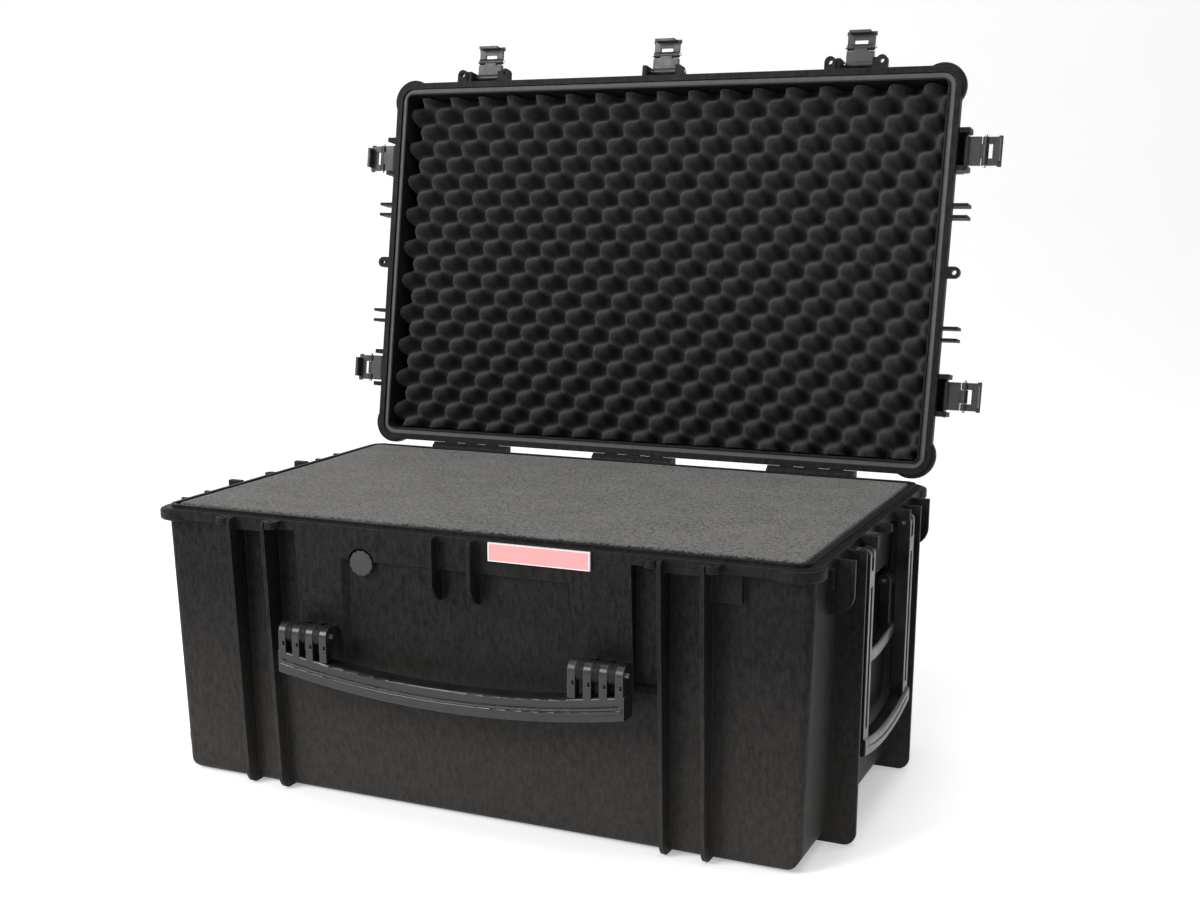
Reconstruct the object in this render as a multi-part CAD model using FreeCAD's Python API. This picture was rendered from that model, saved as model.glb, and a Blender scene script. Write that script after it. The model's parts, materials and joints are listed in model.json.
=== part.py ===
import FreeCAD, Part
import os
from math import cos, pi, radians, sin

os.makedirs("parts", exist_ok=True)

# Hard equipment case with its lid open.
# Millimetres. X runs along the length, Y from the front to the hinges, Z up.
# The origin is on the floor, under the middle of the base.

# ---- overall sizes ------------------------------------------------------------------
LENGTH = 820.0            # flange, left to right
DEPTH = 521.0             # flange, front to back
FLANGE_TOP = 340.0        # height of the parting face above the floor
FLANGE_THICK = 12.0
FLANGE_CORNER = 25.0
RUNNER = 1.5              # runners stand this far below the floor of the shell
WALL = 5.0
FRONT_TOP_INSET = 16.0    # long outer walls to flange edge, under the flange
FRONT_LOW_INSET = 24.0    # the same at the bottom, so the walls lean in
END_TOP_INSET = 4.0       # end walls to flange edge
END_LOW_INSET = 12.0
BODY_CORNER = 9.0         # upright corners of the body
END_ROUND = 24.0          # rounding between the floor and the end walls
FRONT_ROUND = 8.5         # rounding between the floor and the long walls
BUMPER_R = 30.0           # round corner bumpers on the flange and on the lid rim
HALF_LENGTH = LENGTH / 2
HALF_DEPTH = DEPTH / 2
FLANGE_BOTTOM = FLANGE_TOP - FLANGE_THICK

# ---- sealing lip on the base and groove in the lid -------------------------------------
LIP_OUT = 9.0             # outer face of the lip, in from the flange edge
LIP_IN = 14.0
LIP_TALL = 4.0
GROOVE_OUT = 8.0
GROOVE_IN = 15.0
GROOVE_DEEP = 7.6
GASKET_THICK = 3.6
PARTING_GAP = 0.5         # lid rim to flange when shut

# ---- lid ---------------------------------------------------------------------------------
LID_RIM = FLANGE_TOP + PARTING_GAP
LID_TALL = 85.0
LID_RIM_TALL = 14.0
LID_WALL_INSET = 10.0
LID_TOP_INSET = 16.0
LID_CORNER = 20.0
LID_CAVITY_INSET = 17.0
LID_CAVITY_TOP_INSET = 21.0
LID_CAVITY_CORNER = 7.0
LID_ROUND = 16.0
LID_OPEN = 99.8           # degrees the lid stands open at rest
HINGE_Y = HALF_DEPTH + 8.5
HINGE_Z = LID_RIM
KNUCKLE_R = 6.0
HINGE_PIN_R = 2.0
HINGE_CENTRES = (-254.0, 0.0, 254.0)
HINGE_KNUCKLES = 7
HINGE_PITCH = 17.0
KNUCKLE_GAP = 0.4
PIN_CLEAR = 0.05          # running clearance of every pin in its bore

# ---- ribs, catches and latches ---------------------------------------------------------------
FRONT_CENTRES = (-271.0, 0.0, 271.0)
END_CENTRES = (-156.0, 156.0)
RIB_SPACING = 48.0
RIB_THICK = 4.5
FRONT_RIB_Y = -275.0      # front edge of the ribs at the flange
FRONT_RIB_LEAN = 19.0     # the same edge lies this much further in at the floor
CENTRE_RIB_LOW = 263.0    # foot of the short middle ribs
BACK_RIB_Y = 257.0
END_FIN_X = 431.0
DEEP_FIN_Y = 132.0
GUIDE_Y = 78.0            # lid alignment tabs on each end
GUIDE_UP = 2.5            # they stand this far above the flange
CATCH_THICK = 4.0
LATCH_OUT = 9.0           # latch pivot, out from the lid edge
LATCH_UP = 22.0           # latch pivot, up from the rim of the shut lid
LATCH_WIDE = 36.0
LATCH_PIN_R = 2.0
ARM_REACH = 23.0          # latch pivot to lever pivot
LEVER_PIN_R = 1.8
LEVER_PIN_LONG = 42.0
EAR_THICK = 6.0
EYE_HOLE_R = 3.2
EYE_X_STEP = 34.0         # padlock tabs, either side of the outer front latches
EYE_OUT = 9.5             # padlock hole, out from the flange edge
EYE_R = 7.5               # round end of a padlock tab

# ---- raised field of the front wall, flush with the flange ----------------------------------------
FIELD_HALF = 211.0
FIELD_WIDE_HALF = 248.0   # half width below the ledge, where it reaches the ribs
FIELD_LEDGE_Z = 191.0
FIELD_LEDGE_SLOPE = 6.0
FIELD_KINK_Z = 322.0      # the field is upright above this height and leans in below it
POCKET_DEEP = 7.5         # hand pocket sunk in the field, with sides sloping 45 degrees
POCKET_TOP = (-150.0, 139.0, 301.0)      # left x, right x, z
POCKET_LOW = (-156.5, 151.0, 148.0)
GUSSET_X = (297.0, 331.0)  # small pads under the flange beside the outer ribs
GUSSET_LOW = 296.0
GUSSET_Y = -252.0

# ---- handles ---------------------------------------------------------------------------------
FRONT_PIVOT_Y = -282.0
FRONT_PIVOT_Z = 213.0
FRONT_SETS = (-184.0, 184.0)
FRONT_PITCH = 18.5
FRONT_ARM = 9.0
FRONT_KNUCKLE_R = 12.0
FRONT_PIN_R = 3.0
FRONT_HALF = 217.5
GRIP_FRONT_Y = FRONT_PIVOT_Y - FRONT_KNUCKLE_R
GRIP_DEEP = 24.0
GRIP_TALL = 28.0
GRIP_LOW = 165.0          # bottom of the grip at its ends
GRIP_BOW = 20.0
TROLLEY_X = 421.0
TROLLEY_Z = 325.0
TROLLEY_ARM_IN = 85.5
TROLLEY_ARM_OUT = 107.5
TROLLEY_LOW = 96.0
TROLLEY_BOW = 12.0
TROLLEY_PIN_R = 2.5
CARRY_X = 405.0
CARRY_Z = 257.0
CARRY_HALF = 74.0
CARRY_LOW = 189.0
CARRY_BOW = 8.0
CARRY_PIN_R = 2.5
END_POCKET_DEEP = 10.0    # hollow in the end wall behind a carry handle
END_POCKET_HALF = 84.0
END_POCKET_LOW = 165.0
END_POCKET_TOP = 275.0

# ---- wheels ----------------------------------------------------------------------------------
WHEEL_X = -385.0
WHEEL_Y = 197.0
WHEEL_Z = 33.0
WHEEL_R = 32.0
WHEEL_WIDE = 28.0
TYRE_THICK = 8.0
AXLE_R = 4.0
WELL_HALF = 17.0
WELL_X = -348.0
WELL_TOP = 72.0
CHEEK_R = 11.0
CHEEK_THICK = 6.0

# ---- valve and label ---------------------------------------------------------------------------
VALVE_X = -122.5
VALVE_Z = 297.8
VALVE_SEAT_Y = -250.0     # floor of the round recess the valve sits in
VALVE_RECESS_R = 17.5
VALVE_KNOB_R = 15.0
LABEL_X0 = 43.0
LABEL_X1 = 165.0
LABEL_TALL = 21.0
LABEL_TOP = FLANGE_TOP - 1.5
LABEL_FACE_Y = -262.0

# ---- foam ------------------------------------------------------------------------------------
FOAM_GAP = 0.8
FOAM_LEVELS = (7.0, 31.0, 135.0, 239.0, 344.5)
LID_FOAM_RECESS = 9.0     # foam face in from the lid rim
LID_FOAM_GAP = 2.0
FOAM_END_INSET = 18.5     # base foam ends, in from the flange edge, to pass the mouth and the shut lid

X_AXIS = FreeCAD.Vector(1, 0, 0)
Y_AXIS = FreeCAD.Vector(0, 1, 0)
Z_AXIS = FreeCAD.Vector(0, 0, 1)


def vec(x, y, z):
    return FreeCAD.Vector(x, y, z)


# ---- shape helpers -----------------------------------------------------------------------

def box(x0, x1, y0, y1, z0, z1):
    """Box between two corners."""
    return Part.makeBox(x1 - x0, y1 - y0, z1 - z0, vec(x0, y0, z0))


def rod(start, axis, radius, length):
    """Solid cylinder from start along axis."""
    return Part.makeCylinder(radius, length, start, axis)


def tube(start, axis, outer, inner, length):
    """Hollow cylinder from start along axis."""
    return rod(start, axis, outer, length).cut(rod(start, axis, inner, length))


def outline(half_x, half_y, radius, z):
    """Closed rounded rectangle at height z."""
    ax = half_x - radius
    ay = half_y - radius
    k = radius * sin(pi / 4)
    lines = []
    corners = ((ax, -ay, 1, -1), (ax, ay, 1, 1), (-ax, ay, -1, 1), (-ax, -ay, -1, -1))
    ends = []
    for cx, cy, sx, sy in corners:
        side = vec(cx + sx * radius, cy, z)
        edge = vec(cx, cy + sy * radius, z)
        middle = vec(cx + sx * k, cy + sy * k, z)
        first, last = (edge, side) if sx * sy < 0 else (side, edge)
        ends.append((first, middle, last))
    for i, (first, middle, last) in enumerate(ends):
        lines.append(Part.Arc(first, middle, last).toShape())
        following = ends[(i + 1) % 4][0]
        lines.append(Part.makeLine(last, following))
    return Part.Wire(lines)


def slab(half_x, half_y, radius, z0, z1):
    """Rounded rectangular plate."""
    return Part.Face(outline(half_x, half_y, radius, z0)).extrude(vec(0, 0, z1 - z0))


def tapered(low, high, z0, z1):
    """Solid between two rounded rectangles given as (half_x, half_y, radius)."""
    return Part.makeLoft([outline(*low, z0), outline(*high, z1)], True, True)


def ring(outer_inset, inner_inset, z0, z1):
    """Band that follows the flange edge, between two insets."""
    outer = slab(HALF_LENGTH - outer_inset, HALF_DEPTH - outer_inset, FLANGE_CORNER - outer_inset, z0, z1)
    inner = slab(HALF_LENGTH - inner_inset, HALF_DEPTH - inner_inset, FLANGE_CORNER - inner_inset, z0, z1)
    return outer.cut(inner)


def plate_x(points, x0, x1):
    """Polygon given as (y, z), thick along X."""
    wire = Part.makePolygon([vec(x0, y, z) for y, z in points] + [vec(x0, *points[0])])
    return Part.Face(wire).extrude(vec(x1 - x0, 0, 0))


def plate_y(points, y0, y1):
    """Polygon given as (x, z), thick along Y."""
    wire = Part.makePolygon([vec(x, y0, z) for x, z in points] + [vec(points[0][0], y0, points[0][1])])
    return Part.Face(wire).extrude(vec(0, y1 - y0, 0))


def fuse(shapes):
    """One solid from touching shapes."""
    shape = shapes[0].multiFuse(shapes[1:])
    return shape.removeSplitter()


def round_edges(shape, radius, wanted):
    """Fillet the edges that the test function accepts."""
    edges = [e for e in shape.Edges if wanted(e)]
    return shape.makeFillet(radius, edges)


def corner(e, axis, y=None, z=None, x=None):
    """True for a straight edge along one axis at the given place."""
    bounds = e.BoundBox
    spans = {"x": bounds.XLength, "y": bounds.YLength, "z": bounds.ZLength}
    if any(span > 0.01 for name, span in spans.items() if name != axis):
        return False
    wanted = ((bounds.XMin, x), (bounds.YMin, y), (bounds.ZMin, z))
    return all(value is None or abs(here - value) < 0.1 for here, value in wanted)


def turned(shape, centre, axis, angle):
    """Copy of a shape, rotated in degrees."""
    copy = shape.copy()
    copy.rotate(centre, axis, angle)
    return copy


def moved(shape, x, y, z):
    """Copy of a shape, shifted."""
    copy = shape.copy()
    copy.translate(vec(x, y, z))
    return copy


def mirrored_x(shape):
    return shape.mirror(vec(0, 0, 0), X_AXIS)


def mirrored_y(shape):
    return shape.mirror(vec(0, 0, 0), Y_AXIS)


def save(shapes, name):
    """Write one node; several separate solids share a file."""
    solids = []
    for shape in shapes:
        solids.extend(shape.Solids)
    node = solids[0] if len(solids) == 1 else Part.makeCompound(solids)
    node.exportStep("parts/" + name + ".step")


# ---- base shell ----------------------------------------------------------------------------

def wall_section(z, extra):
    """Rounded rectangle of the outer wall at height z, taken in by extra."""
    share = (z - RUNNER) / (FLANGE_TOP - RUNNER)
    end_inset = END_LOW_INSET + (END_TOP_INSET - END_LOW_INSET) * share
    front_inset = FRONT_LOW_INSET + (FRONT_TOP_INSET - FRONT_LOW_INSET) * share
    radius = max(BODY_CORNER - extra, 4.0)
    return (HALF_LENGTH - end_inset - extra, HALF_DEPTH - front_inset - extra, radius)


def wall_core(depth):
    """Leaning form that lies the given depth inside the outer face of the walls."""
    return tapered(wall_section(RUNNER, depth), wall_section(FLANGE_TOP, depth), RUNNER, FLANGE_TOP)


def body_form(extra, floor, top):
    """Leaning form of the walls, taken in by extra, with rounded bottom edges."""
    low = wall_section(floor, extra)
    high = wall_section(top, extra)
    form = tapered(low, high, floor, top)
    form = round_edges(form, FRONT_ROUND - extra, lambda e: e.BoundBox.ZMax < floor + 0.1)
    outer = plate_y([(-low[0], floor), (low[0], floor), (high[0], top), (-high[0], top)], -300, 300)
    outer = round_edges(outer, END_ROUND - extra, lambda e: e.BoundBox.ZMax < floor + 0.1 and e.Length > 590
                        and e.BoundBox.XLength < 1)
    return form.common(outer)


def body_outside():
    """Outer form of the base."""
    return body_form(0, RUNNER, FLANGE_TOP)


def body_cavity():
    """Hollow inside of the base, open at the top, where the mouth is as wide as the lip allows."""
    top = FLANGE_TOP + LIP_TALL + 5
    collar = ring(0, LIP_IN, FLANGE_BOTTOM, top + 1)
    corners = box(-HALF_LENGTH, HALF_LENGTH, -HALF_DEPTH, HALF_DEPTH, FLANGE_BOTTOM, top + 1)
    corners = corners.cut(slab(HALF_LENGTH, HALF_DEPTH, FLANGE_CORNER, FLANGE_BOTTOM, top + 1))
    return body_form(WALL, RUNNER + WALL, top).cut(collar.fuse(corners))


def well_block(extra):
    """Room for one front wheel, grown by extra on its closed sides."""
    y0 = -WHEEL_Y - WELL_HALF - extra
    y1 = -WHEEL_Y + WELL_HALF + extra
    return box(-450, WELL_X + extra, y0, y1, -10, WELL_TOP + extra)


def front_rib(x, low_z):
    """Vertical front rib; a full one wraps under the case and becomes a runner."""
    x0 = x - RIB_THICK / 2
    x1 = x + RIB_THICK / 2
    top = FLANGE_TOP - 1
    if low_z > 0:
        rib = plate_x([(-230, low_z), (FRONT_RIB_Y, low_z), (FRONT_RIB_Y, top), (-230, top)], x0, x1)
        rib = round_edges(rib, 28, lambda e: corner(e, "x", y=FRONT_RIB_Y, z=low_z))
    else:
        low_y = FRONT_RIB_Y + FRONT_RIB_LEAN
        points = [(-200, 0), (low_y, 0), (FRONT_RIB_Y, top), (-230, top), (-230, 12), (-200, 12)]
        rib = plate_x(points, x0, x1)
        rib = round_edges(rib, 18, lambda e: corner(e, "x", y=low_y, z=0))
    return round_edges(rib, 4, lambda e: corner(e, "x", y=FRONT_RIB_Y, z=top))


def back_rib(x):
    """Vertical rib on the hinge side."""
    top = FLANGE_BOTTOM + 4
    low_y = BACK_RIB_Y - 6
    rib = plate_x([(200, 0), (low_y, 0), (BACK_RIB_Y, top), (225, top), (225, 12), (200, 12)],
                  x - RIB_THICK / 2, x + RIB_THICK / 2)
    return round_edges(rib, 16, lambda e: corner(e, "x", y=low_y, z=0))


def runner(x):
    """Skid under the case between a front and a back rib."""
    return box(x - RIB_THICK / 2, x + RIB_THICK / 2, -205, 205, 0, RUNNER + 4)


def end_fin(y, low_z, outer_x, round_r):
    """Fin on the right end, from the wall out to outer_x."""
    top = FLANGE_TOP - 3
    fin = box(378, outer_x, y - RIB_THICK / 2, y + RIB_THICK / 2, low_z, top)
    return round_edges(fin, round_r, lambda e: corner(e, "y", x=outer_x, z=low_z))


def end_features():
    """Catch fins, deep fins, guide tabs and the padlock eye of the right end."""
    pieces = []
    for centre in END_CENTRES:
        inner = centre - RIB_SPACING / 2 * (1 if centre > 0 else -1)
        outer = centre + RIB_SPACING / 2 * (1 if centre > 0 else -1)
        pieces.append(end_fin(outer, 276, END_FIN_X, 24))
        deep_y = DEEP_FIN_Y * (1 if inner > 0 else -1)
        pieces.append(end_fin(deep_y, 0, END_FIN_X, 14))
        lower, upper = sorted((outer, deep_y))
        pieces.append(box(390, HALF_LENGTH, lower, upper, FLANGE_BOTTOM - CATCH_THICK, FLANGE_TOP))
    for y in (-GUIDE_Y, GUIDE_Y):
        tab = box(388, END_FIN_X - 1, y - 4, y + 4, FLANGE_BOTTOM + 1, FLANGE_TOP + GUIDE_UP)
        pieces.append(tab.cut(box(380, HALF_LENGTH + 1.5, y - 5, y + 5, FLANGE_TOP, FLANGE_TOP + 20)))
    for y in (-192, 192):
        pieces.append(box(388, HALF_LENGTH + 2, y - 3, y + 3, 307, FLANGE_BOTTOM + 2))
    return pieces


def padlock_eye(x, y, toward_x, toward_y, z0, z1):
    """Flat rounded tab at (x, y), joined back to the rim it stands on; the hole is cut later."""
    disc = rod(vec(x, y, z0), Z_AXIS, EYE_R, z1 - z0)
    back_x = x - toward_x * 20
    back_y = y - toward_y * 20
    if toward_y:
        return fuse([disc, box(x - EYE_R, x + EYE_R, min(y, back_y), max(y, back_y), z0, z1)])
    return fuse([disc, box(min(x, back_x), max(x, back_x), y - EYE_R, y + EYE_R, z0, z1)])


def eye_places():
    """Centres of the padlock holes, with the direction each tab points."""
    places = []
    for centre in (FRONT_CENTRES[0], FRONT_CENTRES[2]):
        for step in (-EYE_X_STEP, EYE_X_STEP):
            places.append((centre + step, -HALF_DEPTH - EYE_OUT, 0, -1))
    for side in (-1, 1):
        places.append((side * (HALF_LENGTH + EYE_OUT), 0.0, side, 0))
    return places


def handle_lugs(centre):
    """Three fixed knuckles that carry one end of the front handle."""
    pieces = []
    width = FRONT_PITCH - FRONT_ARM - 2 * KNUCKLE_GAP
    for step in (-1, 0, 1):
        x0 = centre + step * FRONT_PITCH - width / 2
        pieces.append(rod(vec(x0, FRONT_PIVOT_Y, FRONT_PIVOT_Z), X_AXIS, FRONT_KNUCKLE_R, width))
        pieces.append(box(x0, x0 + width, FRONT_PIVOT_Y, -242, FRONT_PIVOT_Z - 11, FRONT_PIVOT_Z + 6))
    return pieces


def handle_bore(centre):
    """Hole for one pin of the front handle."""
    return rod(vec(centre - 60, FRONT_PIVOT_Y, FRONT_PIVOT_Z), X_AXIS, FRONT_PIN_R + PIN_CLEAR, 120)


def trolley_lug(y):
    """Fixed knuckle of the pull handle, reaching out from under the flange."""
    half = 4.6
    barrel = rod(vec(TROLLEY_X, y - half, TROLLEY_Z), Y_AXIS, 8, 2 * half)
    web = box(388, TROLLEY_X, y - half, y + half, TROLLEY_Z - 8, TROLLEY_Z + 2)
    bore = rod(vec(TROLLEY_X, y - 20, TROLLEY_Z), Y_AXIS, TROLLEY_PIN_R + PIN_CLEAR, 40)
    return fuse([barrel, web]).cut(bore)


def carry_lug(y):
    """Lug that carries one arm of a carry handle, on the right end."""
    outward = 1 if y > 0 else -1
    y0, y1 = sorted((y, y + outward * 8))
    disc = rod(vec(CARRY_X, y0, CARRY_Z), Y_AXIS, 9, 8)
    web = box(384, CARRY_X, y0, y1, CARRY_Z - 9, CARRY_Z + 9)
    bore = rod(vec(CARRY_X, y - 20, CARRY_Z), Y_AXIS, CARRY_PIN_R + PIN_CLEAR, 40)
    return fuse([disc, web]).cut(bore)


def hinge_spans(odd):
    """X spans of the fixed or the moving knuckles of every hinge."""
    spans = []
    for centre in HINGE_CENTRES:
        start = centre - HINGE_KNUCKLES * HINGE_PITCH / 2
        for i in range(HINGE_KNUCKLES):
            if i % 2 == odd:
                x0 = start + i * HINGE_PITCH
                spans.append((x0 + KNUCKLE_GAP / 2, x0 + HINGE_PITCH - KNUCKLE_GAP / 2))
    return spans


def base_knuckle(x0, x1):
    """Fixed hinge knuckle with the heel that stops the open lid."""
    lean = radians(180 - LID_OPEN)
    reach = KNUCKLE_R + 2.2
    heel_top = HINGE_Z + reach / sin(lean)
    heel_back = heel_top - 14 * cos(lean) / sin(lean)
    heel = plate_x([(HINGE_Y, HINGE_Z - 5), (HINGE_Y + 14, HINGE_Z - 3), (HINGE_Y + 14, heel_back),
                    (HINGE_Y, heel_top)], x0, x1)
    web = plate_x([(250, FLANGE_BOTTOM), (HALF_DEPTH, FLANGE_BOTTOM), (HINGE_Y, HINGE_Z - 5),
                   (HINGE_Y, FLANGE_TOP - 0.5), (250, FLANGE_TOP - 0.5)], x0, x1)
    barrel = rod(vec(x0, HINGE_Y, HINGE_Z), X_AXIS, KNUCKLE_R, x1 - x0)
    return fuse([heel, web, barrel])


def valve_boss():
    return rod(vec(VALVE_X, -236, VALVE_Z), vec(0, -1, 0), 21, 14)


def valve_hole():
    bore = rod(vec(VALVE_X, -230, VALVE_Z), vec(0, -1, 0), 10.05, 30)
    recess = rod(vec(VALVE_X, VALVE_SEAT_Y, VALVE_Z), vec(0, -1, 0), VALVE_RECESS_R, 15)
    return bore.fuse(recess)


def field_y(z):
    """Front face of the raised field at height z."""
    share = max(0.0, (FIELD_KINK_Z - z) / (FIELD_KINK_Z - RUNNER))
    return -HALF_DEPTH + FRONT_LOW_INSET * share


def hand_pocket():
    """Hollow with sloping sides sunk into the raised field."""
    rings = []
    for deep in (-4.0, POCKET_DEEP):
        points = []
        for x, z in ((POCKET_LOW[0], POCKET_LOW[2]), (POCKET_LOW[1], POCKET_LOW[2]),
                     (POCKET_TOP[1], POCKET_TOP[2]), (POCKET_TOP[0], POCKET_TOP[2])):
            to_x = 1 if x < 0 else -1
            to_z = 1 if z == POCKET_LOW[2] else -1
            points.append(vec(x + to_x * deep, field_y(z) + deep, z + to_z * deep * 0.4))
        rings.append(Part.makePolygon(points + [points[0]]))
    return Part.makeLoft(rings, True, True)


def front_field():
    """Raised field of the front wall; it runs out to nothing at the bottom."""
    top = FLANGE_TOP - 0.5
    side = plate_x([(-236, RUNNER + 6), (field_y(RUNNER + 6), RUNNER + 6), (-HALF_DEPTH, FIELD_KINK_Z),
                    (-HALF_DEPTH, top), (-236, top)], -FIELD_WIDE_HALF, FIELD_WIDE_HALF)
    for sign in (-1, 1):
        step = plate_y([(sign * FIELD_HALF, FIELD_LEDGE_Z), (sign * 260, FIELD_LEDGE_Z), (sign * 260, 350),
                        (sign * FIELD_HALF, 350)], -270, -225)
        slope_low = FIELD_LEDGE_Z - FIELD_LEDGE_SLOPE
        y_out = field_y(FIELD_LEDGE_Z) - 2
        slope = plate_x([(y_out, slope_low - 2), (y_out + FIELD_LEDGE_SLOPE + 2, FIELD_LEDGE_Z),
                         (y_out, FIELD_LEDGE_Z)], *sorted((sign * FIELD_HALF, sign * 260)))
        side = side.cut(step).cut(slope)
    return side.cut(hand_pocket())


def end_pocket(depth, grow):
    """Hollow behind a carry handle of the right end, down to a depth under the wall face."""
    block = box(360, 450, -END_POCKET_HALF - grow, END_POCKET_HALF + grow,
                END_POCKET_LOW - grow, END_POCKET_TOP + grow)
    block = round_edges(block, 10 + grow, lambda e: corner(e, "x"))
    return block.cut(wall_core(depth))


def both_ends(shape):
    """A shape of the right end and its mirror image on the left end."""
    return [shape, mirrored_x(shape)]


def corner_bumpers(z0, z1):
    """Round bumpers over the four corners of the flange or of the lid rim."""
    pieces = []
    for sx in (-1, 1):
        for sy in (-1, 1):
            centre = vec(sx * (HALF_LENGTH - FLANGE_CORNER), sy * (HALF_DEPTH - FLANGE_CORNER), z0)
            bumper = rod(centre, Z_AXIS, BUMPER_R, z1 - z0)
            pieces.append(round_edges(bumper, 3, lambda e: e.BoundBox.ZLength < 1))
    return pieces


def base_shell():
    outside = body_outside()
    flange = slab(HALF_LENGTH, HALF_DEPTH, FLANGE_CORNER, FLANGE_BOTTOM, FLANGE_TOP)
    flange = round_edges(flange, 2, lambda e: abs(e.BoundBox.ZMax - FLANGE_BOTTOM) < 0.1)
    lip = ring(LIP_OUT, LIP_IN, FLANGE_TOP - 1, FLANGE_TOP + LIP_TALL)
    ribs = []
    for centre in FRONT_CENTRES:
        for side in (-1, 1):
            x = centre + side * RIB_SPACING / 2
            if centre == 0:
                ribs.append(front_rib(x, CENTRE_RIB_LOW))
            else:
                ribs.append(front_rib(x, 0))
                ribs.append(back_rib(x))
                ribs.append(runner(x))
        catch_low = FLANGE_BOTTOM - CATCH_THICK
        ribs.append(box(centre - 22, centre + 22, -HALF_DEPTH, -238, catch_low, FLANGE_TOP - 1))
    for low_x, high_x in (GUSSET_X, (-GUSSET_X[1], -GUSSET_X[0])):
        ribs.append(box(low_x, high_x, GUSSET_Y, -236, GUSSET_LOW, FLANGE_BOTTOM + 2))
    skid = slab(30, 30, 8, 0, RUNNER + 2)
    right = end_features()
    left = [mirrored_x(shape) for shape in right]
    lugs = [trolley_lug(y) for y in (-96.5, 96.5)]
    carry = [carry_lug(y) for y in (-CARRY_HALF - 0.5, CARRY_HALF + 0.5)]
    carry += [mirrored_x(shape) for shape in carry]
    eyes = [padlock_eye(*place, FLANGE_TOP - 9, FLANGE_TOP - 0.5) for place in eye_places()]
    lug_sets = handle_lugs(FRONT_SETS[0]) + handle_lugs(FRONT_SETS[1])
    label_pad = box(LABEL_X0, LABEL_X1, -HALF_DEPTH - 0.4, -238, LABEL_TOP - LABEL_TALL, LABEL_TOP)
    cheeks = []
    for y0 in (-WHEEL_Y - WELL_HALF - CHEEK_THICK, -WHEEL_Y + WELL_HALF):
        cheek = rod(vec(WHEEL_X, y0, WHEEL_Z), Y_AXIS, CHEEK_R, CHEEK_THICK)
        arm = box(WHEEL_X, WHEEL_X + 30, y0, y0 + CHEEK_THICK, WHEEL_Z - 17, WHEEL_Z + 17)
        cheeks.append(cheek.fuse(arm))
    wells = [well_block(0), mirrored_y(well_block(0))]
    liners = [well_block(WALL), mirrored_y(well_block(WALL))]
    solid_body = outside.cut(wells[0]).cut(wells[1])
    for pocket in both_ends(end_pocket(END_POCKET_DEEP, 0)):
        solid_body = solid_body.cut(pocket)
    bumpers = corner_bumpers(FLANGE_BOTTOM - 2, FLANGE_TOP - 1)
    solid = solid_body.multiFuse([flange, lip, valve_boss(), front_field(), skid, label_pad]
                                 + ribs + right + left + lugs + carry + eyes + lug_sets + bumpers
                                 + cheeks + [mirrored_y(c) for c in cheeks])
    cavity = body_cavity().cut(liners[0]).cut(liners[1])
    for pocket in both_ends(end_pocket(END_POCKET_DEEP + WALL, WALL)):
        cavity = cavity.cut(pocket)
    shell = solid.cut(cavity).cut(valve_hole())
    for centre in FRONT_SETS:
        shell = shell.cut(handle_bore(centre))
    axle_bores = [rod(vec(WHEEL_X, -WHEEL_Y - 30, WHEEL_Z), Y_AXIS, AXLE_R + PIN_CLEAR, 60)]
    axle_bores.append(mirrored_y(axle_bores[0]))
    knuckles = [base_knuckle(x0, x1) for x0, x1 in hinge_spans(0)]
    hinge_bore = rod(vec(-330, HINGE_Y, HINGE_Z), X_AXIS, HINGE_PIN_R + PIN_CLEAR, 660)
    holes = [rod(vec(place[0], place[1], FLANGE_TOP - 20), Z_AXIS, EYE_HOLE_R, 30) for place in eye_places()]
    shell = shell.multiFuse(knuckles).cut(hinge_bore)
    for cutter in axle_bores + holes:
        shell = shell.cut(cutter)
    return shell.removeSplitter()


# ---- base contents and fittings ----------------------------------------------------------------

def foam_section(z, gap):
    """Rounded rectangle of the base foam at a height: half length, half depth and radius."""
    half_x, half_y, radius = wall_section(z, WALL + gap)
    return (min(half_x, HALF_LENGTH - FOAM_END_INSET), half_y, radius)


def foam_layer(z0, z1):
    """Foam block that follows the leaning walls between two heights."""
    low_gap = FOAM_GAP
    high_gap = FOAM_GAP
    if z0 == FOAM_LEVELS[0]:
        low_gap = 15
        high_gap = 3
    low = foam_section(z0, low_gap)
    high = foam_section(z1, high_gap)
    block = tapered(low, high, z0 + 0.3, z1)
    for pocket in both_ends(end_pocket(END_POCKET_DEEP + WALL + 1, WALL + 1)):
        block = block.cut(pocket)
    if z0 < WELL_TOP + WALL:
        for well in (well_block(WALL + 1), mirrored_y(well_block(WALL + 1))):
            block = block.cut(well)
    if z1 > VALVE_Z:
        block = block.cut(rod(vec(VALVE_X, -220, VALVE_Z), vec(0, -1, 0), 18, 40))
    return block


def hinge_pins():
    long = HINGE_KNUCKLES * HINGE_PITCH - 2
    return [rod(vec(c - long / 2, HINGE_Y, HINGE_Z), X_AXIS, HINGE_PIN_R, long) for c in HINGE_CENTRES]


def valve_disc(y0, y1, radius):
    """Disc on the valve axis between two depths."""
    return rod(vec(VALVE_X, y0, VALVE_Z), vec(0, -1, 0), radius, y0 - y1)


def valve_body():
    neck = valve_disc(-231, VALVE_SEAT_Y - 1.8, 10)
    head = valve_disc(VALVE_SEAT_Y - 1.7, VALVE_SEAT_Y - 3.5, 12.9)
    bore = valve_disc(-238, VALVE_SEAT_Y - 3.5, 5.05)
    seat = valve_disc(-233, -238, 7.5)
    vent = valve_disc(-230, -234, 3)
    return neck.fuse(head).cut(bore).cut(seat).cut(vent)


def valve_membrane():
    return valve_disc(-234.5, -235.3, 7.2)


def valve_o_ring():
    ring_disc = valve_disc(VALVE_SEAT_Y - 0.1, VALVE_SEAT_Y - 1.6, 12.6)
    return ring_disc.cut(valve_disc(VALVE_SEAT_Y + 1, VALVE_SEAT_Y - 3, 10.1))


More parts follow.
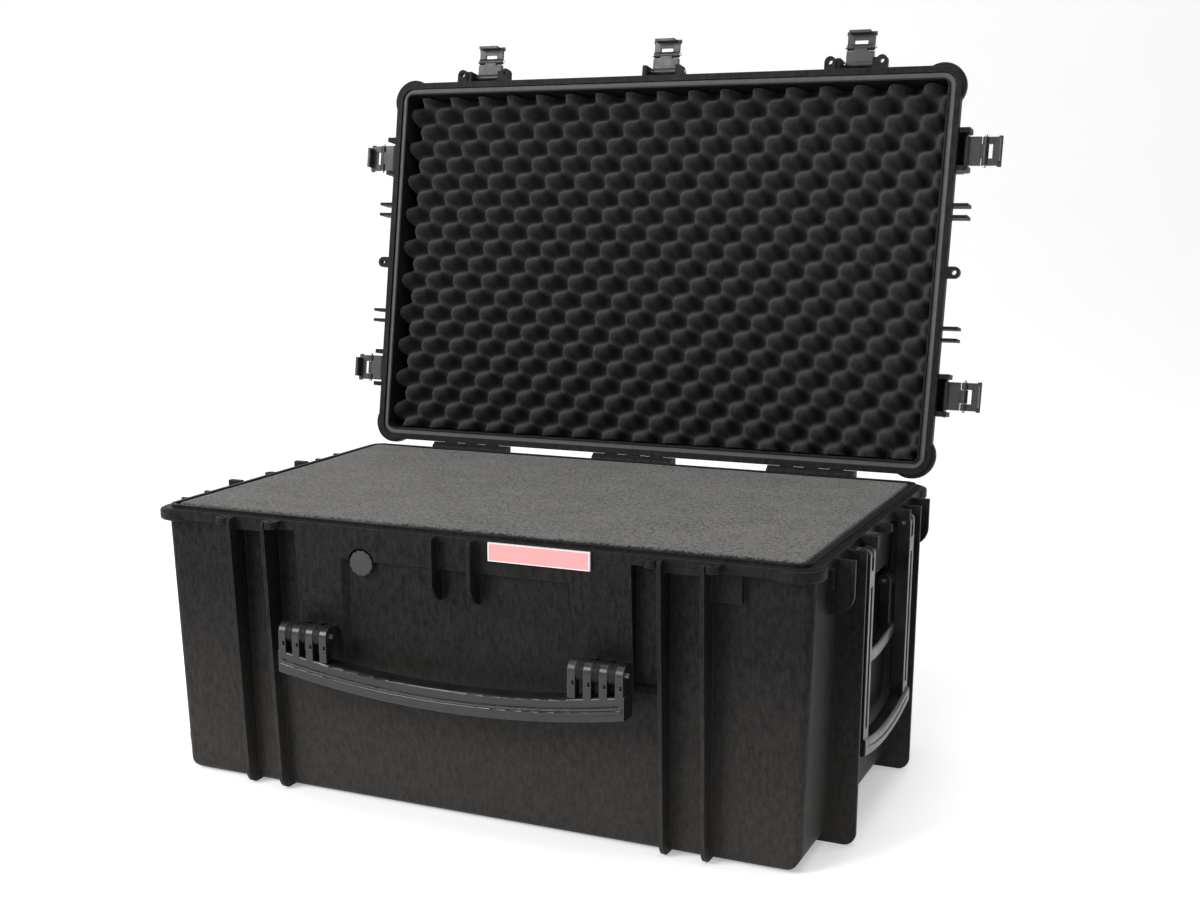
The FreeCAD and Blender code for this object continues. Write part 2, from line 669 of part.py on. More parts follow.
def valve_nut():
    points = []
    for i in range(7):
        angle = radians(60 * i)
        points.append(vec(VALVE_X + 15 * cos(angle), -231.5, VALVE_Z + 15 * sin(angle)))
    body = Part.Face(Part.makePolygon(points)).extrude(vec(0, -6.4, 0))
    return body.cut(valve_disc(-230, -240, 10.05))


def valve_knob():
    """Round cap with finger lobes and a stem."""
    back = VALVE_SEAT_Y - 3.9
    face = VALVE_SEAT_Y - 9.5
    cap = valve_disc(back, face, VALVE_KNOB_R)
    for i in range(12):
        angle = radians(30 * i)
        notch_x = VALVE_X + (VALVE_KNOB_R + 1.1) * cos(angle)
        notch_z = VALVE_Z + (VALVE_KNOB_R + 1.1) * sin(angle)
        cap = cap.cut(rod(vec(notch_x, back + 0.4, notch_z), vec(0, -1, 0), 2, 7))
    cap = round_edges(cap, 0.8, lambda e: e.BoundBox.YMax < face + 0.1)
    return cap.fuse(valve_disc(-240, back - 1, 5))


def label_frame():
    """Shallow frame that holds the card."""
    z0 = LABEL_TOP - LABEL_TALL
    plate = box(LABEL_X0, LABEL_X1, LABEL_FACE_Y - 2, LABEL_FACE_Y + 1, z0, LABEL_TOP)
    window = box(LABEL_X0 + 2, LABEL_X1 - 2, LABEL_FACE_Y - 3, LABEL_FACE_Y - 1, z0 + 1.6, LABEL_TOP - 1.6)
    return plate.cut(window)


def label_card():
    z0 = LABEL_TOP - LABEL_TALL
    y0 = LABEL_FACE_Y - 1.8
    return box(LABEL_X0 + 2.3, LABEL_X1 - 2.3, y0, y0 + 0.75, z0 + 1.9, LABEL_TOP - 1.9)


# ---- handles -------------------------------------------------------------------------------

def bowed_bar(half, low, tall, bow, depth0, depth1):
    """Bar along X whose middle hangs lower than its ends, between two depths in Y."""
    high = low + tall
    lower = Part.Arc(vec(-half, depth0, low), vec(0, depth0, low - bow), vec(half, depth0, low))
    upper = Part.Arc(vec(half, depth0, high), vec(0, depth0, high - bow), vec(-half, depth0, high))
    right = Part.makeLine(vec(half, depth0, low), vec(half, depth0, high))
    left = Part.makeLine(vec(-half, depth0, high), vec(-half, depth0, low))
    wire = Part.Wire([lower.toShape(), right, upper.toShape(), left])
    return Part.Face(wire).extrude(vec(0, depth1 - depth0, 0))


def front_handle():
    """Bowed grip with four arms at each end, hanging from the front pivots."""
    face = GRIP_FRONT_Y
    grip = bowed_bar(FRONT_HALF, GRIP_LOW, GRIP_TALL, GRIP_BOW, face, face + GRIP_DEEP)
    grip = round_edges(grip, 3, lambda e: e.Length > 300)
    groove = bowed_bar(FRONT_HALF - 6, GRIP_LOW + 15, 2.6, GRIP_BOW, face - 5, face + 3)
    bead = bowed_bar(FRONT_HALF - 3, GRIP_LOW + 7.5, 6, GRIP_BOW, face - 2.2, face + 4)
    bead = round_edges(bead, 2, lambda e: e.Length > 300 and e.BoundBox.YMax < face)
    pieces = [grip.cut(groove), bead]
    for centre in FRONT_SETS:
        for step in (-1.5, -0.5, 0.5, 1.5):
            x0 = centre + step * FRONT_PITCH - FRONT_ARM / 2
            pieces.append(rod(vec(x0, FRONT_PIVOT_Y, FRONT_PIVOT_Z), X_AXIS, FRONT_KNUCKLE_R, FRONT_ARM))
            arm = box(x0, x0 + FRONT_ARM, face, face + 12, GRIP_LOW + 19, FRONT_PIVOT_Z)
            recess_top = FRONT_PIVOT_Z - FRONT_KNUCKLE_R + 3
            low_x = x0 + FRONT_ARM - 4
            recess = box(low_x, low_x + 3.2, face - 1, face + 3, recess_top - 5, recess_top)
            pieces.append(arm.cut(recess))
    handle = pieces[0].multiFuse(pieces[1:])
    for centre in FRONT_SETS:
        handle = handle.cut(handle_bore(centre))
    return handle.removeSplitter()


def front_handle_pins():
    long = 3 * FRONT_PITCH + FRONT_ARM + 5
    starts = [vec(centre - long / 2, FRONT_PIVOT_Y, FRONT_PIVOT_Z) for centre in FRONT_SETS]
    return [rod(start, X_AXIS, FRONT_PIN_R, long) for start in starts]


def end_bar(half, low, tall, bow, x0, x1):
    """The bowed bar turned to run along Y on the right end."""
    bar = bowed_bar(half, low, tall, bow, -x1, -x0)
    bar.rotate(vec(0, 0, 0), Z_AXIS, 90)
    return bar


def trolley_handle():
    """U-shaped pull handle hanging from the right end."""
    back = TROLLEY_X - 7
    bar = end_bar(TROLLEY_ARM_OUT, TROLLEY_LOW, 21, TROLLEY_BOW, back, back + 18)
    bar = round_edges(bar, 4, lambda e: e.Length > 150)
    bar = bar.cut(end_bar(TROLLEY_ARM_OUT - 10, TROLLEY_LOW + 9, 3, TROLLEY_BOW, back + 16.5, back + 30))
    pieces = [bar]
    middle = (TROLLEY_ARM_IN + TROLLEY_ARM_OUT) / 2
    for side in (-1, 1):
        y0, y1 = sorted((side * TROLLEY_ARM_IN, side * TROLLEY_ARM_OUT))
        arm = box(back, back + 15, y0, y1, TROLLEY_LOW + 4, TROLLEY_Z)
        groove = box(back + 12.5, back + 20, side * middle - 4, side * middle + 4,
                     TROLLEY_LOW + 30, TROLLEY_Z - 36)
        arm = arm.cut(groove)
        barrel = rod(vec(TROLLEY_X, y0, TROLLEY_Z), Y_AXIS, 8, y1 - y0)
        pieces += [arm, barrel]
    handle = pieces[0].multiFuse(pieces[1:])
    for side in (-1, 1):
        slot = box(400, 450, side * middle - 5, side * middle + 5, TROLLEY_Z - 18, TROLLEY_Z + 20)
        bore = rod(vec(TROLLEY_X, side * middle - 20, TROLLEY_Z), Y_AXIS, TROLLEY_PIN_R + PIN_CLEAR, 40)
        handle = handle.cut(slot).cut(bore)
    return handle.removeSplitter()


def trolley_pins():
    middle = (TROLLEY_ARM_IN + TROLLEY_ARM_OUT) / 2
    return [rod(vec(TROLLEY_X, side * middle - 12, TROLLEY_Z), Y_AXIS, TROLLEY_PIN_R, 24) for side in (-1, 1)]


def carry_handle():
    """Small bail on the right end, hanging between the arms of the pull handle."""
    bar = end_bar(CARRY_HALF, CARRY_LOW, 17, CARRY_BOW, 401, 417)
    bar = round_edges(bar, 4, lambda e: e.Length > 100)
    pieces = [bar]
    for side in (-1, 1):
        y0, y1 = sorted((side * (CARRY_HALF - 9), side * CARRY_HALF))
        pieces.append(box(CARRY_X - 4, CARRY_X + 7.5, y0, y1, CARRY_LOW + 4, CARRY_Z))
        pieces.append(rod(vec(CARRY_X, y0, CARRY_Z), Y_AXIS, 7.5, y1 - y0))
    handle = pieces[0].multiFuse(pieces[1:])
    bore = rod(vec(CARRY_X, -100, CARRY_Z), Y_AXIS, CARRY_PIN_R + PIN_CLEAR, 200)
    return handle.cut(bore).removeSplitter()


def carry_pins():
    pins = []
    for side in (-1, 1):
        y0 = min(side * (CARRY_HALF - 11), side * (CARRY_HALF + 10))
        pins.append(rod(vec(CARRY_X, y0, CARRY_Z), Y_AXIS, CARRY_PIN_R, 21))
    return pins


# ---- wheels --------------------------------------------------------------------------------

def wheel_hub():
    """Hub of the front wheel."""
    half = WHEEL_WIDE / 2 - 1
    outer = WHEEL_R - TYRE_THICK
    hub = rod(vec(WHEEL_X, -WHEEL_Y - half, WHEEL_Z), Y_AXIS, outer, 2 * half)
    for y0 in (-WHEEL_Y - half - 1, -WHEEL_Y + half - 5):
        dish = tube(vec(WHEEL_X, y0, WHEEL_Z), Y_AXIS, outer - 4, 10, 6)
        hub = hub.cut(dish)
    return hub.cut(rod(vec(WHEEL_X, -WHEEL_Y - 30, WHEEL_Z), Y_AXIS, AXLE_R + PIN_CLEAR, 60))


def wheel_tyre():
    half = WHEEL_WIDE / 2
    inner = WHEEL_R - TYRE_THICK + PIN_CLEAR
    tyre = tube(vec(WHEEL_X, -WHEEL_Y - half, WHEEL_Z), Y_AXIS, WHEEL_R, inner, 2 * half)
    return round_edges(tyre, 3, lambda e: e.BoundBox.ZLength > 2 * WHEEL_R - 1 and e.BoundBox.YLength < 1)


def wheel_axle():
    long = 2 * (WELL_HALF + CHEEK_THICK) - 1
    return rod(vec(WHEEL_X, -WHEEL_Y - long / 2, WHEEL_Z), Y_AXIS, AXLE_R, long)


# ---- lid, drawn shut and then swung open ----------------------------------------------------------

def lid_section(inset, radius):
    return (HALF_LENGTH - inset, HALF_DEPTH - inset, radius)


def opened(shape):
    """Swing a shape with the lid from shut to its resting angle."""
    return turned(shape, vec(0, HINGE_Y, HINGE_Z), X_AXIS, -LID_OPEN)


def lid_outside():
    top = LID_RIM + LID_TALL
    rim = slab(HALF_LENGTH, HALF_DEPTH, FLANGE_CORNER, LID_RIM, LID_RIM + LID_RIM_TALL)
    rim = round_edges(rim, 3, lambda e: e.BoundBox.ZMin > LID_RIM + LID_RIM_TALL - 0.1)
    low = lid_section(LID_WALL_INSET, LID_CORNER)
    high = lid_section(LID_TOP_INSET, LID_CORNER - 3)
    crown = tapered(low, high, LID_RIM + 4, top)
    crown = round_edges(crown, LID_ROUND, lambda e: e.BoundBox.ZMin > top - 0.1)
    return [rim, crown] + corner_bumpers(LID_RIM + 2, LID_RIM + 16)


def lid_cavity():
    """Hollow inside of the lid."""
    top = LID_RIM + LID_TALL - WALL
    form = tapered(lid_section(LID_CAVITY_INSET, LID_CAVITY_CORNER),
                   lid_section(LID_CAVITY_TOP_INSET, LID_CAVITY_CORNER), LID_RIM - 1, top)
    return round_edges(form, LID_CAVITY_CORNER - 1, lambda e: e.BoundBox.ZMin > top - 0.1)


def lid_ribs():
    """Raised bands across the outside of the lid."""
    top = LID_RIM + LID_TALL
    pieces = []
    for centre in FRONT_CENTRES:
        band = box(centre - 30, centre + 30, -215, 215, top - 2, top + 4)
        pieces.append(round_edges(band, 3, lambda e: e.BoundBox.ZMin > top + 3.9))
    return pieces


def spots():
    """Every latch: name, centre along its side, and the turn from the front side."""
    names = []
    for name, x in zip(("front_left", "front_centre", "front_right"), FRONT_CENTRES):
        names.append((name, x, 0))
    for name, y in zip(("right_front", "right_rear"), END_CENTRES):
        names.append((name, y, 90))
    for name, y in zip(("left_front", "left_rear"), END_CENTRES):
        names.append((name, -y, -90))
    return names


def at_spot(shape, centre, turn):
    """Carry a latch piece from its own frame to its side of the shut lid."""
    half = HALF_DEPTH if turn == 0 else HALF_LENGTH
    copy = moved(shape, centre, -half - LATCH_OUT, LID_RIM + LATCH_UP)
    return turned(copy, vec(0, 0, 0), Z_AXIS, turn)


def ear_pair():
    """Both ears of a latch and the plate that bridges them, in the frame of the latch."""
    inner = LATCH_OUT + LID_WALL_INSET + 3
    profile = [(inner, -19), (-5.5, -19), (-5.5, 4), (5, 13), (inner, 13)]
    pieces = []
    for side in (-1, 1):
        middle = side * RIB_SPACING / 2
        ear = plate_x(profile, middle - EAR_THICK / 2, middle + EAR_THICK / 2)
        pieces.append(ear.cut(rod(vec(-50, 0, 0), X_AXIS, LATCH_PIN_R + PIN_CLEAR, 100)))
    pieces.append(box(-RIB_SPACING / 2, RIB_SPACING / 2, 1, inner, 8.5, 12.5))
    return pieces


def lid_guides():
    """Pairs of short fins on each end that straddle the tabs of the base."""
    pieces = []
    for side in (-1, 1):
        for centre in (-GUIDE_Y, GUIDE_Y):
            for step in (-7.5, 7.5):
                x0, x1 = sorted((side * (HALF_LENGTH - 12), side * (END_FIN_X - 1)))
                y = centre + step
                pieces.append(box(x0, x1, y - 2, y + 2, LID_RIM + 1, LID_RIM + 26))
    return pieces


def lid_knuckle(x0, x1):
    web = box(x0, x1, 252, HINGE_Y, HINGE_Z + 0.6, HINGE_Z + 9)
    barrel = rod(vec(x0, HINGE_Y, HINGE_Z), X_AXIS, KNUCKLE_R, x1 - x0)
    return web.fuse(barrel)


def lid_shell():
    pieces = lid_outside() + lid_ribs() + lid_guides()
    for name, centre, turn in spots():
        pieces += [at_spot(ear, centre, turn) for ear in ear_pair()]
    for place in eye_places():
        pieces.append(padlock_eye(*place, LID_RIM + 0.5, LID_RIM + 9))
    pieces += [lid_knuckle(x0, x1) for x0, x1 in hinge_spans(1)]
    solid = pieces[0].multiFuse(pieces[1:])
    groove = ring(GROOVE_OUT, GROOVE_IN, LID_RIM - 1, LID_RIM + GROOVE_DEEP)
    shell = solid.cut(lid_cavity()).cut(groove)
    hinge_bore = rod(vec(-330, HINGE_Y, HINGE_Z), X_AXIS, HINGE_PIN_R + PIN_CLEAR, 660)
    shell = shell.cut(hinge_bore)
    for place in eye_places():
        shell = shell.cut(rod(vec(place[0], place[1], LID_RIM - 10), Z_AXIS, EYE_HOLE_R, 40))
    return opened(shell.removeSplitter())


def lid_gasket():
    top = LID_RIM + GROOVE_DEEP - 0.1
    return opened(ring(GROOVE_OUT + 0.4, GROOVE_IN - 0.4, top - GASKET_THICK, top))


def lid_foam():
    low = lid_section(LID_CAVITY_INSET + LID_FOAM_GAP, LID_CAVITY_CORNER - LID_FOAM_GAP)
    high = lid_section(LID_CAVITY_TOP_INSET + LID_FOAM_GAP, LID_CAVITY_CORNER - LID_FOAM_GAP)
    z0 = LID_RIM + LID_FOAM_RECESS
    return opened(tapered(low, high, z0, LID_RIM + LID_TALL - WALL - 3))


# ---- latches, each drawn hanging shut in its own frame ------------------------------------------

def latch_open(shape, centre, turn):
    """Put a latch piece on the open lid with the latch pointing straight out."""
    lifted = turned(shape, vec(0, 0, 0), X_AXIS, -90)
    return opened(at_spot(lifted, centre, turn))


def latch_arm():
    """Block between the lid pivot and the lever pivot."""
    half = LATCH_WIDE / 2
    pivot = rod(vec(-half, 0, 0), X_AXIS, 5.2, LATCH_WIDE)
    block = box(-half, half, -4.5, 3, -ARM_REACH + 5.5, 0)
    nose = box(-8.6, 8.6, -4, 2.5, -ARM_REACH, -ARM_REACH + 6)
    knuckle = rod(vec(-8.6, -1, -ARM_REACH), X_AXIS, 4.2, 17.2)
    arm = pivot.multiFuse([block, nose, knuckle])
    arm = arm.cut(rod(vec(-50, 0, 0), X_AXIS, LATCH_PIN_R + PIN_CLEAR, 100))
    return arm.cut(rod(vec(-50, -1, -ARM_REACH), X_AXIS, LEVER_PIN_R + PIN_CLEAR, 100))


def latch_lever():
    """Pull lever with a window, a thick tip and the hook behind it."""
    half = LATCH_WIDE / 2
    z = -ARM_REACH
    pieces = []
    for side in (-1, 1):
        x0, x1 = sorted((side * 9.2, side * half))
        pieces.append(rod(vec(x0, -1, z), X_AXIS, 4.2, x1 - x0))
        pieces.append(box(x0, x1, -4.5, 0.5, z - 14, z))
    pieces.append(box(-half, half, -4.5, 0.5, z - 20, z - 14))
    pieces.append(rod(vec(-half - 1.5, -3, z - 18), X_AXIS, 2.8, LATCH_WIDE + 3))
    pieces.append(box(-14, 14, 0, 13, z - 19.6, z - 16.2))
    pieces.append(box(-9.5, 9.5, -2.5, 0, z - 15, z - 9))
    lever = pieces[0].multiFuse(pieces[1:])
    return lever.cut(rod(vec(-50, -1, z), X_AXIS, LEVER_PIN_R + PIN_CLEAR, 100))


def lever_pin():
    return rod(vec(-LEVER_PIN_LONG / 2, -1, -ARM_REACH), X_AXIS, LEVER_PIN_R, LEVER_PIN_LONG)


def latch_pin():
    long = RIB_SPACING + EAR_THICK + 2
    return rod(vec(-long / 2, 0, 0), X_AXIS, LATCH_PIN_R, long)


# ---- write every node -----------------------------------------------------------------------

save([base_shell()], "base_shell")
foam_names = ("bottom_pad", "lower_layer", "middle_layer", "top_layer")
for i, foam_name in enumerate(foam_names):
    save([foam_layer(FOAM_LEVELS[i], FOAM_LEVELS[i + 1])], "base_foam_" + foam_name)
save(hinge_pins(), "hinge_pins")
save([valve_body()], "valve_body")
save([valve_membrane()], "valve_membrane")
save([valve_o_ring()], "valve_o_ring")
save([valve_nut()], "valve_nut")
save([valve_knob()], "valve_knob")
save([label_frame()], "label_frame")
save([label_card()], "label_card")
save([front_handle()], "front_handle")
save(front_handle_pins(), "front_handle_pins")
save([trolley_handle()], "trolley_handle")
save(trolley_pins(), "trolley_handle_pins")
save([carry_handle()], "right_carry_handle")
save(carry_pins(), "right_carry_handle_pins")
save([mirrored_x(carry_handle())], "left_carry_handle")
save([mirrored_x(pin) for pin in carry_pins()], "left_carry_handle_pins")
save([wheel_axle(), mirrored_y(wheel_axle())], "wheel_axles")
save([wheel_hub()], "front_wheel_hub")
save([wheel_tyre()], "front_wheel_tyre")
save([mirrored_y(wheel_hub())], "rear_wheel_hub")
save([mirrored_y(wheel_tyre())], "rear_wheel_tyre")
save([lid_shell()], "lid_shell")
save([lid_gasket()], "lid_gasket")
save([lid_foam()], "lid_foam")
save([opened(at_spot(latch_pin(), centre, turn)) for name, centre, turn in spots()], "latch_pins")
for name, centre, turn in spots():
    save([latch_open(latch_arm(), centre, turn)], name + "_latch_arm")
    save([latch_open(latch_lever(), centre, turn)], name + "_latch_lever")
    save([latch_open(lever_pin(), centre, turn)], name + "_latch_lever_pin")
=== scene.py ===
import json
from math import cos, pi, radians, sin

import bmesh
import bpy
import numpy as np
from mathutils import Matrix, Vector, noise


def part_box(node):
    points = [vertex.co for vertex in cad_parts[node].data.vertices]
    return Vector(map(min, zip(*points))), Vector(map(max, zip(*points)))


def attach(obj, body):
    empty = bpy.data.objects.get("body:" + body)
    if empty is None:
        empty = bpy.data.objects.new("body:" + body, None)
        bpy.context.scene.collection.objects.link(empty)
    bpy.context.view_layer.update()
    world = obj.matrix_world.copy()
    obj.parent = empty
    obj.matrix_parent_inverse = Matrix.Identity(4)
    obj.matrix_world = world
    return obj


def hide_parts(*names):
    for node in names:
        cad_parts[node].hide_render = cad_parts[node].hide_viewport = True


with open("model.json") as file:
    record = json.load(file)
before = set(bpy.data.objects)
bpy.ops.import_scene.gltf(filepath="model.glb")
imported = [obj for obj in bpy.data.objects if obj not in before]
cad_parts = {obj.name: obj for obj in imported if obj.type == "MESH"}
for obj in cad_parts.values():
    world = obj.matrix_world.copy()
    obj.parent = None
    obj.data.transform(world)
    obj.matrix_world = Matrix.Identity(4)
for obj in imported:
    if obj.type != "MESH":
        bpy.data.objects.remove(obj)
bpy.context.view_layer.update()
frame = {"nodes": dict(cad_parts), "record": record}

# Looks of the hard equipment case: materials for every CAD node, soft foam inside, a pale studio.
# Metres, in the frame of the CAD part: origin on the floor under the base, +X right, +Y back, +Z up.

# ---- camera ----------------------------------------------------------------------------------
CAMERA_AT = (0.836, -1.827, 0.733)
CAMERA_YAW = 25.71
CAMERA_PITCH = -13.07
CAMERA_ROLL = -0.44
CAMERA_LENS = 49.13
CAMERA_SHIFT = (0.0661, 0.0859)

# ---- floor -----------------------------------------------------------------------------------
FLOOR_GLOW = 0.35         # keeps the paper white away from the lamps
FLOOR_FLAT_TO = 2.5       # where the paper starts to curve up
FLOOR_BEND = 2.0          # radius of that curve
FLOOR_BEND_STEPS = 12

# ---- dust and painted floor-bounce light on the shell ----------------------------------------
DUST_AND_BOUNCE_LIGHT_TOP = 0.25           # the shell gets neither dust nor painted bounce light above this height
DUST_AND_BOUNCE_LIGHT_FULL = 0.03          # and gets full dust and painted floor-bounce light below this one

# ---- open lid --------------------------------------------------------------------------------
LID_OPEN = 99.8
HINGE_Y = 0.269
HINGE_Z = 0.3405

# ---- foam ------------------------------------------------------------------------------------
FOAM_SHADE_MIDDLE = 0.9   # usual sum of the noises that shade the foam, and how far it strays
FOAM_SHADE_SPREAD = 0.35
FOAM_EDGE = 0.002         # rounding along the rim of a cut face
WALL_LOOPS = 12           # rows of faces down the side of a foam block
CUT_WAVE = 14             # waves in a cut face, per metre
LONGEST_EDGE = 0.03       # longest edge of a carved layer, halved in up to SPLIT_ROUNDS rounds
SPLIT_ROUNDS = 5
FOAM_CELL = 0.006         # grid step of a flat foam face
EGG_CELL = 0.0026         # grid step of the egg-crate face
EGG_PITCH_X = 0.046       # bump to bump along a row
EGG_ROW = 0.024           # row to row
EGG_DEPTH = 0.036         # tip to valley
LID_FOAM_FACE = 0.3495    # bump tips, with the lid shut
LID_FOAM_BACK = 0.4175
LID_FOAM_HALF = (0.3905, 0.2410)
LID_FOAM_BACK_HALF = (0.3868, 0.2373)
LID_FOAM_CORNER = 0.005
BASE_FOAM_CORNER = 0.0040
END_POCKET_X = 0.3868     # foam stays inside this behind the hollow of a carry handle
END_POCKET_HALF = 0.091
END_POCKET_TOP = 0.283
VALVE_NUT_Y = -0.2195     # and inside this behind the pressure valve
VALVE_NUT_X = -0.1225
VALVE_NUT_Z = 0.2978
VALVE_NUT_ROOM = 0.021

# ---- node graphs -----------------------------------------------------------------------------


def new_material(name):
    """An empty material with its shader, and the shader and tree to build on."""
    material = bpy.data.materials.new(name)
    material.use_nodes = True
    tree = material.node_tree
    return material, tree, tree.nodes["Principled BSDF"]


def add(tree, kind, inputs=None, **settings):
    """Add a node. Each input is a constant or another node's output."""
    made = tree.nodes.new("ShaderNode" + kind)
    for name, value in settings.items():
        setattr(made, name, value)
    for socket, value in (inputs or {}).items():
        if isinstance(value, bpy.types.NodeSocket):
            tree.links.new(value, made.inputs[socket])
        else:
            made.inputs[socket].default_value = value
    return made


def place(tree, stretch=(1, 1, 1)):
    """Positions on the object at rest, stretched along the axes."""
    coordinates = add(tree, "TexCoord").outputs["Object"]
    return add(tree, "Mapping", {"Vector": coordinates, "Scale": stretch}).outputs["Vector"]


def noise_at(tree, where, scale, detail=3.0, roughness=0.5):
    values = {"Vector": where, "Scale": scale, "Detail": detail, "Roughness": roughness}
    return add(tree, "TexNoise", values).outputs["Fac"]


def cells_at(tree, where, scale):
    return add(tree, "TexVoronoi", {"Vector": where, "Scale": scale}).outputs["Distance"]


def remap(tree, value, low, high, new_low=0.0, new_high=1.0):
    values = {"Value": value, "From Min": low, "From Max": high}
    values.update({"To Min": new_low, "To Max": new_high})
    return add(tree, "MapRange", values).outputs["Result"]


def mix(tree, amount, one, other):
    values = {"Factor": amount, "A": one, "B": other}
    made = add(tree, "Mix", data_type="RGBA")
    for socket in made.inputs:
        if socket.enabled and socket.name in values:
            value = values[socket.name]
            if isinstance(value, bpy.types.NodeSocket):
                tree.links.new(value, socket)
            else:
                socket.default_value = value
    return next(s for s in made.outputs if s.enabled)


def math(tree, operation, one, other=0.0):
    return add(tree, "Math", {0: one, 1: other}, operation=operation).outputs["Value"]


def grey(level, warm=1.0):
    """A grey colour, a little red or blue of neutral."""
    return (level * warm, level, level * (2 - warm), 1)


def edges(tree, radius):
    """1 along sharp edges of the piece, fading to 0 within radius of them."""
    rounded = add(tree, "Bevel", {"Radius": radius}, samples=4).outputs["Normal"]
    flat = add(tree, "NewGeometry").outputs["Normal"]
    same = add(tree, "VectorMath", {0: rounded, 1: flat}, operation="DOT_PRODUCT").outputs["Value"]
    return remap(tree, same, 0.995, 0.80)


def bump(tree, shader, height, strength, depth, soft_edge=0.0):
    """Surface relief, on top of edges softened over soft_edge metres."""
    values = {"Height": height, "Strength": strength, "Distance": depth}
    if soft_edge:
        values["Normal"] = add(tree, "Bevel", {"Radius": soft_edge}, samples=4).outputs["Normal"]
    normal = add(tree, "Bump", values).outputs["Normal"]
    tree.links.new(normal, shader.inputs["Normal"])


def feed(tree, shader, **inputs):
    """Connect outputs or set constants on the shader."""
    for name, value in inputs.items():
        socket = shader.inputs[name.replace("_", " ")]
        if isinstance(value, bpy.types.NodeSocket):
            tree.links.new(value, socket)
        else:
            socket.default_value = value


# ---- materials -------------------------------------------------------------------------------


def shell_plastic():
    """Near-black moulded plastic: leathery grain, vertical flow marks, rubbed edges, and a lighter grey low
    down that is partly dust and partly painted floor-bounce light.
    """
    material, tree, shader = new_material("shell_plastic")
    where = place(tree)
    flow = noise_at(tree, place(tree, (1, 1, 0.4)), 210, 5, 0.75)
    cloud = noise_at(tree, where, 9, 3)
    grain = noise_at(tree, where, 620, 2, 0.7)
    rub = math(tree, "MULTIPLY", edges(tree, 0.0016), noise_at(tree, where, 60, 4, 0.7))
    dark = mix(tree, remap(tree, flow, 0.3, 0.7), grey(0.0045, 1.03), grey(0.0125, 1.05))
    clouded = mix(tree, remap(tree, cloud, 0.35, 0.7, 0, 0.4), dark, grey(0.014, 1.04))
    # Lighter grey towards the bottom: partly dust, partly painted light standing in for bounce from the
    # floor.
    height_up = add(tree, "SeparateXYZ", {"Vector": where}).outputs["Z"]
    low_down = remap(tree, height_up, DUST_AND_BOUNCE_LIGHT_TOP, DUST_AND_BOUNCE_LIGHT_FULL)
    dust = math(tree, "MULTIPLY", low_down, remap(tree, flow, 0.25, 0.75, 0.5, 1.0))
    dusty_and_bounce_lit = mix(tree, dust, clouded, grey(0.035, 1.06))
    feed(tree, shader, Base_Color=mix(tree, rub, dusty_and_bounce_lit, grey(0.05, 1.03)))
    rough = remap(tree, math(tree, "ADD", flow, cloud), 0.7, 1.3, 0.40, 0.60)
    shine = remap(tree, flow, 0.35, 0.65, 0.05, 0.15)
    feed(tree, shader, Roughness=rough, Specular_IOR_Level=shine)
    height = math(tree, "ADD", math(tree, "MULTIPLY", flow, 1.6), grain)
    bump(tree, shader, height, 0.5, 0.0003, 0.0008)
    return material


def handle_plastic():
    """Smoother, glossier black plastic with fine wear; its lighter edges are partly rubbed wear and partly
    painted highlight.
    """
    material, tree, shader = new_material("handle_plastic")
    where = place(tree)
    cloud = noise_at(tree, where, 26, 4, 0.6)
    grain = noise_at(tree, where, 420, 3, 0.6)
    wear_and_highlight = remap(tree, noise_at(tree, where, 90, 4, 0.7), 0, 1, 0.5, 1)
    # Lighter grey along the edges: partly rubbed wear, partly painted highlight along the grip's edges.
    rub = math(tree, "MULTIPLY", edges(tree, 0.0014), wear_and_highlight)
    dark = mix(tree, remap(tree, cloud, 0.35, 0.65), grey(0.005), grey(0.012))
    feed(tree, shader, Base_Color=mix(tree, rub, dark, grey(0.06)))
    feed(tree, shader, Roughness=remap(tree, cloud, 0.3, 0.7, 0.24, 0.4), Specular_IOR_Level=0.5)
    bump(tree, shader, grain, 0.18, 0.0002, 0.0011)
    return material


def latch_plastic():
    """Satin black plastic, rubbed grey where fingers work it."""
    material, tree, shader = new_material("latch_plastic")
    where = place(tree)
    cloud = noise_at(tree, where, 55, 4, 0.6)
    grain = noise_at(tree, where, 700, 2, 0.6)
    rub = math(tree, "MULTIPLY", edges(tree, 0.001), noise_at(tree, where, 140, 3, 0.7))
    dark = mix(tree, remap(tree, cloud, 0.35, 0.65), grey(0.010), grey(0.021, 0.99))
    feed(tree, shader, Base_Color=mix(tree, rub, dark, grey(0.09)))
    feed(tree, shader, Roughness=remap(tree, cloud, 0.3, 0.7, 0.32, 0.5), Specular_IOR_Level=0.45)
    bump(tree, shader, grain, 0.2, 0.0002, 0.0006)
    return material


def valve_plastic():
    """Blue-grey satin plastic of the pressure valve."""
    material, tree, shader = new_material("valve_plastic")
    where = place(tree)
    cloud = noise_at(tree, where, 90, 4, 0.6)
    grain = noise_at(tree, where, 800, 2, 0.6)
    feed(tree, shader, Base_Color=mix(tree, cloud, grey(0.014, 0.93), grey(0.03, 0.93)))
    feed(tree, shader, Roughness=remap(tree, cloud, 0.3, 0.7, 0.35, 0.5), Specular_IOR_Level=0.45)
    bump(tree, shader, grain, 0.2, 0.0002, 0.0005)
    return material


def hub_plastic():
    """Wheel hub plastic with a little road dust in patches."""
    material, tree, shader = new_material("hub_plastic")
    where = place(tree)
    dust = noise_at(tree, where, 45, 5, 0.7)
    grain = noise_at(tree, where, 500, 2, 0.6)
    feed(tree, shader, Base_Color=mix(tree, remap(tree, dust, 0.45, 0.75), grey(0.012), grey(0.045, 1.1)))
    feed(tree, shader, Roughness=remap(tree, dust, 0.3, 0.7, 0.4, 0.65), Specular_IOR_Level=0.4)
    bump(tree, shader, grain, 0.25, 0.0003, 0.0008)
    return material


